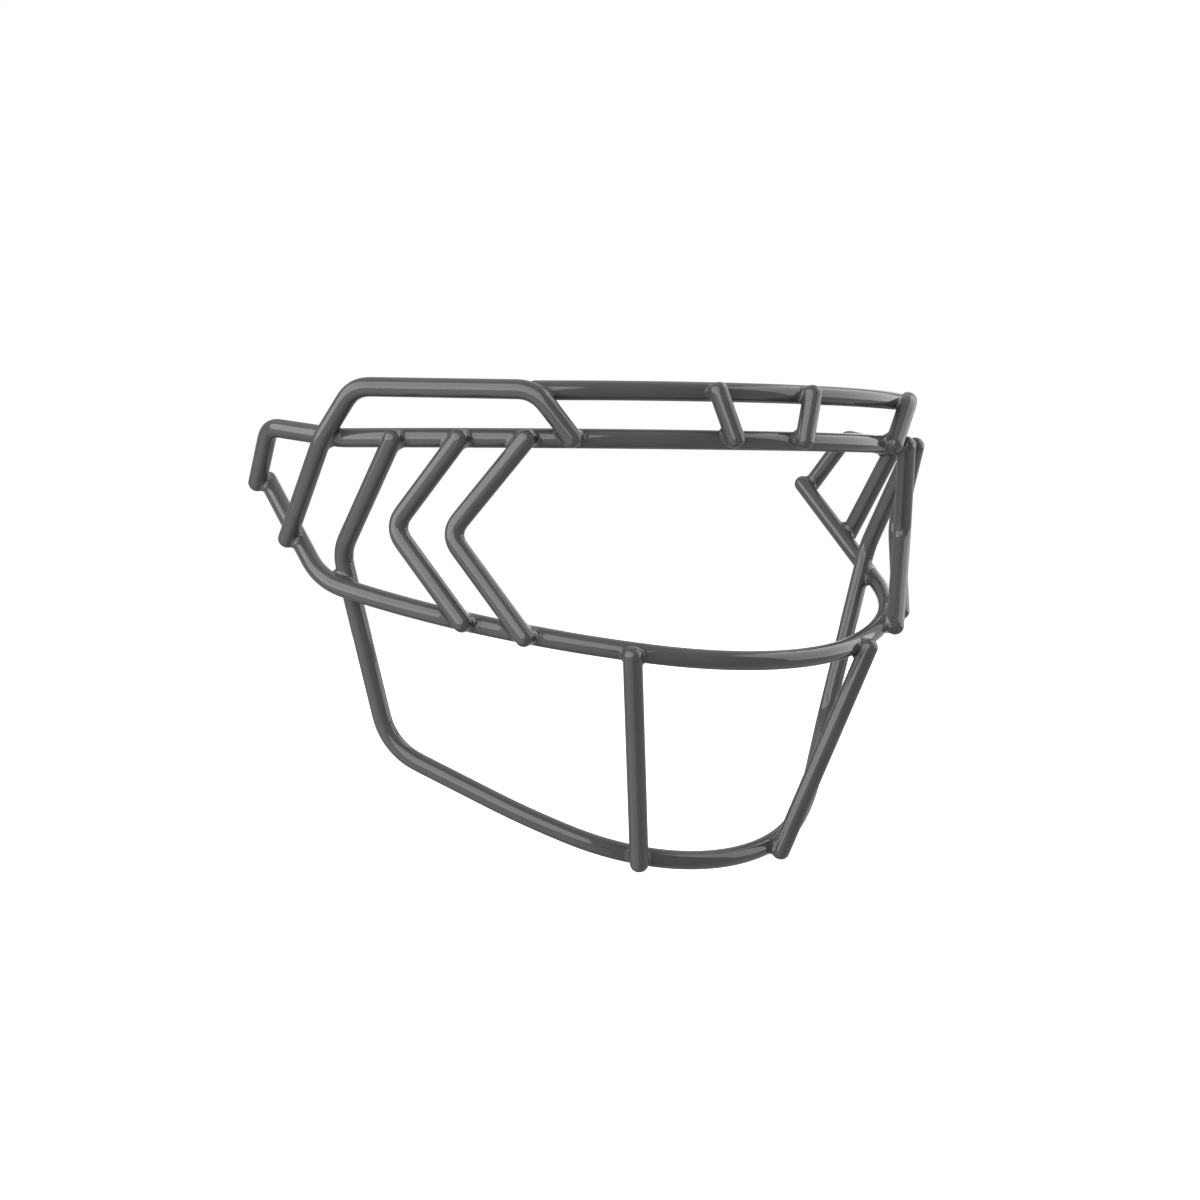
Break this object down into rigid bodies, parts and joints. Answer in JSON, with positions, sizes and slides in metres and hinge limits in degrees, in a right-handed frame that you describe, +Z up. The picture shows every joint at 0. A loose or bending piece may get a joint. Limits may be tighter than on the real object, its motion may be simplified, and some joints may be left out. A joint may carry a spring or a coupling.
{
  "type": "football helmet facemask",
  "caption": "Welded cage of bent round wire that guards the face on a football helmet, with arched bars, side loops and swept side wires.",
  "frame": {"origin": "middle of the brow bar on its centreline, where the mirror plane of the cage crosses it", "axes": "+Z up as worn, -Y the way the wearer looks, +X to the wearer's left"},
  "size_m": [0.2366, 0.1384, 0.1552],
  "materials": {
    "coated_steel": "smooth glossy dark grey coating on steel wire"
  },
  "bodies": {
    "root": {"brow_bar": "coated_steel", "brow_strut_left": "coated_steel", "brow_strut_right": "coated_steel", "front_chevron_left": "coated_steel", "front_chevron_right": "coated_steel", "jaw_bar": "coated_steel", "mid_bar": "coated_steel", "mouth_upright_left": "coated_steel", "mouth_upright_right": "coated_steel", "rear_chevron_left": "coated_steel", "rear_chevron_right": "coated_steel", "side_loop_left": "coated_steel", "side_loop_right": "coated_steel", "top_bar": "coated_steel", "weld_brow_front_chevron": "coated_steel", "weld_brow_jaw": "coated_steel", "weld_brow_loop_front": "coated_steel", "weld_brow_loop_rear": "coated_steel", "weld_brow_mid": "coated_steel", "weld_brow_rear_chevron": "coated_steel", "weld_brow_strut": "coated_steel", "weld_jaw_upright": "coated_steel", "weld_mid_front_chevron": "coated_steel", "weld_mid_jaw": "coated_steel", "weld_mid_loop": "coated_steel", "weld_mid_rear_chevron": "coated_steel", "weld_mid_upright": "coated_steel", "weld_top_loop": "coated_steel", "weld_top_strut": "coated_steel"}
  },
  "joints": []
}
